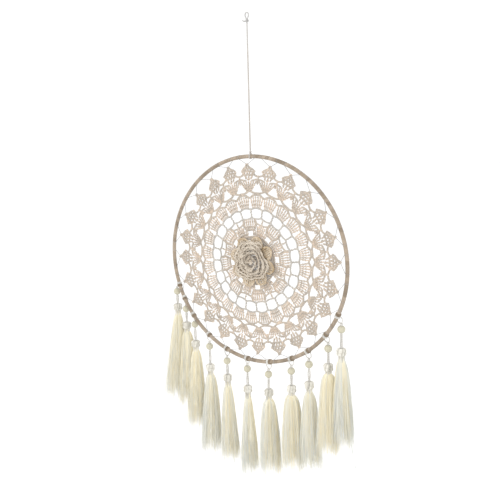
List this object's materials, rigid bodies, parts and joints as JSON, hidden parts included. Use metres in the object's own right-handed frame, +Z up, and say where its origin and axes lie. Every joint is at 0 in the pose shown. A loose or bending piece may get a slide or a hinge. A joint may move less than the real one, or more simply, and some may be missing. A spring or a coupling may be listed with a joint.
{
  "type": "dream catcher",
  "caption": "Hanging dream catcher: a tape-wrapped hoop laced round a pale crocheted doily with a crocheted rose, hung on a cord, with a fringe of beaded silky tassels.",
  "frame": {"origin": "inside top of the hanging eye, where the nail bears", "axes": "+Z up along the hanging cord, the hoop lies in the XZ plane, its flower faces -Y"},
  "size_m": [0.2551, 0.0285, 0.5541],
  "materials": {
    "hang_cord": "twisted cotton string",
    "steel_wire": "plain drawn wire",
    "hoop_wrapping": "narrow matte tape wound on the slant",
    "crochet_yarn": "matte cotton yarn, crocheted",
    "flower_yarn": "matte cotton yarn, crocheted in ruffles",
    "lacing": "fine smooth thread",
    "tassel_cord": "smooth twisted cord",
    "bead_wood": "pale turned wood, bare",
    "tassel_silk": "glossy fine rayon strands"
  },
  "bodies": {
    "hanger": {"hang_eye": "hang_cord"},
    "top_knot": {"top_knot": "hang_cord"},
    "cord": {"hang_cord": "hang_cord"},
    "tie_knot": {"tie_knot": "hang_cord"},
    "hoop": {"tie_loop": "hang_cord", "hoop_ring": "steel_wire", "hoop_wrap": "hoop_wrapping", "doily": "crochet_yarn", "flower_petals": "flower_yarn", "flower_rose": "flower_yarn", "lacing_thread": "lacing", "loop_turns": "tassel_cord", "tassel_loops": "tassel_cord"},
    "drop_01": {"tassel_01_cord": "tassel_cord", "tassel_01_bead": "bead_wood"},
    "tassel_01": {"tassel_01_head": "tassel_silk", "tassel_01_skirt": "tassel_silk"},
    "drop_02": {"tassel_02_cord": "tassel_cord", "tassel_02_bead": "bead_wood"},
    "tassel_02": {"tassel_02_head": "tassel_silk", "tassel_02_skirt": "tassel_silk"},
    "drop_03": {"tassel_03_cord": "tassel_cord", "tassel_03_bead": "bead_wood"},
    "tassel_03": {"tassel_03_head": "tassel_silk", "tassel_03_skirt": "tassel_silk"},
    "drop_04": {"tassel_04_cord": "tassel_cord", "tassel_04_bead": "bead_wood"},
    "tassel_04": {"tassel_04_head": "tassel_silk", "tassel_04_skirt": "tassel_silk"},
    "drop_05": {"tassel_05_cord": "tassel_cord", "tassel_05_bead": "bead_wood"},
    "tassel_05": {"tassel_05_head": "tassel_silk", "tassel_05_skirt": "tassel_silk"},
    "drop_06": {"tassel_06_cord": "tassel_cord", "tassel_06_bead": "bead_wood"},
    "tassel_06": {"tassel_06_head": "tassel_silk", "tassel_06_skirt": "tassel_silk"},
    "drop_07": {"tassel_07_cord": "tassel_cord", "tassel_07_bead": "bead_wood"},
    "tassel_07": {"tassel_07_head": "tassel_silk", "tassel_07_skirt": "tassel_silk"},
    "drop_08": {"tassel_08_cord": "tassel_cord", "tassel_08_bead": "bead_wood"},
    "tassel_08": {"tassel_08_head": "tassel_silk", "tassel_08_skirt": "tassel_silk"},
    "drop_09": {"tassel_09_cord": "tassel_cord", "tassel_09_bead": "bead_wood"},
    "tassel_09": {"tassel_09_head": "tassel_silk", "tassel_09_skirt": "tassel_silk"},
    "drop_10": {"tassel_10_cord": "tassel_cord", "tassel_10_bead": "bead_wood"},
    "tassel_10": {"tassel_10_head": "tassel_silk", "tassel_10_skirt": "tassel_silk"},
    "drop_11": {"tassel_11_cord": "tassel_cord", "tassel_11_bead": "bead_wood"},
    "tassel_11": {"tassel_11_head": "tassel_silk", "tassel_11_skirt": "tassel_silk"}
  },
  "joints": [
    {"name": "hang_sway", "type": "hinge", "parent": "hanger", "child": "top_knot", "pos_m": [0, 0, -0.008], "axis": [0, 1, 0], "range_deg": [-30, 30]},
    {"name": "hang_swing", "type": "hinge", "parent": "top_knot", "child": "cord", "pos_m": [0, 0, -0.008], "axis": [1, 0, 0], "range_deg": [-45, 45]},
    {"name": "hoop_turn", "type": "hinge", "parent": "cord", "child": "tie_knot", "pos_m": [0, 0, -0.153], "axis": [0, 0, 1], "continuous": true},
    {"name": "hoop_nod", "type": "hinge", "parent": "tie_knot", "child": "hoop", "pos_m": [0, 0, -0.153], "axis": [1, 0, 0], "range_deg": [-20, 20]},
    {"name": "tassel_01_swing", "type": "hinge", "parent": "hoop", "child": "drop_01", "pos_m": [-0.1235, 0.003, -0.32505], "axis": [1, 0, 0], "range_deg": [-60, 60]},
    {"name": "tassel_01_turn", "type": "hinge", "parent": "drop_01", "child": "tassel_01", "pos_m": [-0.1235, 0.003, -0.35185], "axis": [0, 0, 1], "continuous": true},
    {"name": "tassel_02_swing", "type": "hinge", "parent": "hoop", "child": "drop_02", "pos_m": [-0.1095, 0.003, -0.34697], "axis": [1, 0, 0], "range_deg": [-60, 60]},
    {"name": "tassel_02_turn", "type": "hinge", "parent": "drop_02", "child": "tassel_02", "pos_m": [-0.1095, 0.003, -0.37477], "axis": [0, 0, 1], "continuous": true},
    {"name": "tassel_03_swing", "type": "hinge", "parent": "hoop", "child": "drop_03", "pos_m": [-0.0958, 0.003, -0.36583], "axis": [1, 0, 0], "range_deg": [-60, 60]},
    {"name": "tassel_03_turn", "type": "hinge", "parent": "drop_03", "child": "tassel_03", "pos_m": [-0.0958, 0.003, -0.39763], "axis": [0, 0, 1], "continuous": true},
    {"name": "tassel_04_swing", "type": "hinge", "parent": "hoop", "child": "drop_04", "pos_m": [-0.073, 0.003, -0.39188], "axis": [1, 0, 0], "range_deg": [-60, 60]},
    {"name": "tassel_04_turn", "type": "hinge", "parent": "drop_04", "child": "tassel_04", "pos_m": [-0.073, 0.003, -0.42568], "axis": [0, 0, 1], "continuous": true},
    {"name": "tassel_05_swing", "type": "hinge", "parent": "hoop", "child": "drop_05", "pos_m": [-0.0458, 0.003, -0.40669], "axis": [1, 0, 0], "range_deg": [-60, 60]},
    {"name": "tassel_05_turn", "type": "hinge", "parent": "drop_05", "child": "tassel_05", "pos_m": [-0.0458, 0.003, -0.43449], "axis": [0, 0, 1], "continuous": true},
    {"name": "tassel_06_swing", "type": "hinge", "parent": "hoop", "child": "drop_06", "pos_m": [-0.015, 0.003, -0.41149], "axis": [1, 0, 0], "range_deg": [-60, 60]},
    {"name": "tassel_06_turn", "type": "hinge", "parent": "drop_06", "child": "tassel_06", "pos_m": [-0.015, 0.003, -0.44329], "axis": [0, 0, 1], "continuous": true},
    {"name": "tassel_07_swing", "type": "hinge", "parent": "hoop", "child": "drop_07", "pos_m": [0.016, 0.003, -0.41298], "axis": [1, 0, 0], "range_deg": [-60, 60]},
    {"name": "tassel_07_turn", "type": "hinge", "parent": "drop_07", "child": "tassel_07", "pos_m": [0.016, 0.003, -0.44178], "axis": [0, 0, 1], "continuous": true},
    {"name": "tassel_08_swing", "type": "hinge", "parent": "hoop", "child": "drop_08", "pos_m": [0.048, 0.003, -0.40321], "axis": [1, 0, 0], "range_deg": [-60, 60]},
    {"name": "tassel_08_turn", "type": "hinge", "parent": "drop_08", "child": "tassel_08", "pos_m": [0.048, 0.003, -0.43101], "axis": [0, 0, 1], "continuous": true},
    {"name": "tassel_09_swing", "type": "hinge", "parent": "hoop", "child": "drop_09", "pos_m": [0.072, 0.003, -0.39093], "axis": [1, 0, 0], "range_deg": [-60, 60]},
    {"name": "tassel_09_turn", "type": "hinge", "parent": "drop_09", "child": "tassel_09", "pos_m": [0.072, 0.003, -0.42173], "axis": [0, 0, 1], "continuous": true},
    {"name": "tassel_10_swing", "type": "hinge", "parent": "hoop", "child": "drop_10", "pos_m": [0.097, 0.003, -0.36803], "axis": [1, 0, 0], "range_deg": [-60, 60]},
    {"name": "tassel_10_turn", "type": "hinge", "parent": "drop_10", "child": "tassel_10", "pos_m": [0.097, 0.003, -0.39583], "axis": [0, 0, 1], "continuous": true},
    {"name": "tassel_11_swing", "type": "hinge", "parent": "hoop", "child": "drop_11", "pos_m": [0.1135, 0.003, -0.34342], "axis": [1, 0, 0], "range_deg": [-60, 60]},
    {"name": "tassel_11_turn", "type": "hinge", "parent": "drop_11", "child": "tassel_11", "pos_m": [0.1135, 0.003, -0.37522], "axis": [0, 0, 1], "continuous": true}
  ]
}
